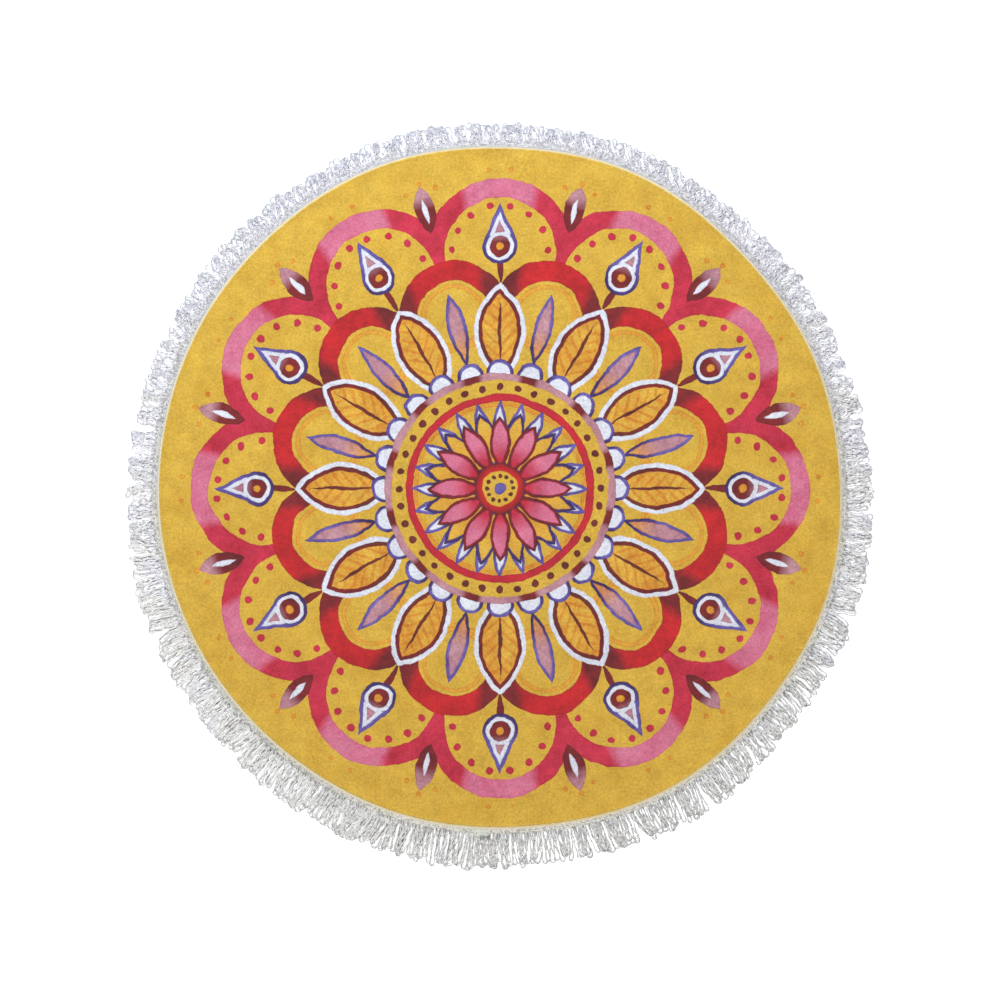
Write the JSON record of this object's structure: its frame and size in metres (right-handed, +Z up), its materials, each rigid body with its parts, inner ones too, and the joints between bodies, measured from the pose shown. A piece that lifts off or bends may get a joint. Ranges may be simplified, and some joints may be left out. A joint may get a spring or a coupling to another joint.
{
  "type": "round beach towel",
  "caption": "Round beach towel lying flat: a disc of printed cloth with a rolled hem and a looped cotton fringe sewn round its edge.",
  "frame": {"origin": "middle of the cloth disc, on the surface that the towel lies on", "axes": "+Z up out of the printed face, +Y towards the side where the fringe lies crumpled short, which is the top of the picture"},
  "size_m": [1.4971, 1.4915, 0.0059],
  "materials": {
    "printed_cloth": "soft short pile with a printed pattern on golden yellow, white loops on the back",
    "fringe_cotton": "dull white twisted cotton yarn"
  },
  "bodies": {
    "root": {"cloth": "printed_cloth", "fringe": "fringe_cotton"}
  },
  "joints": []
}
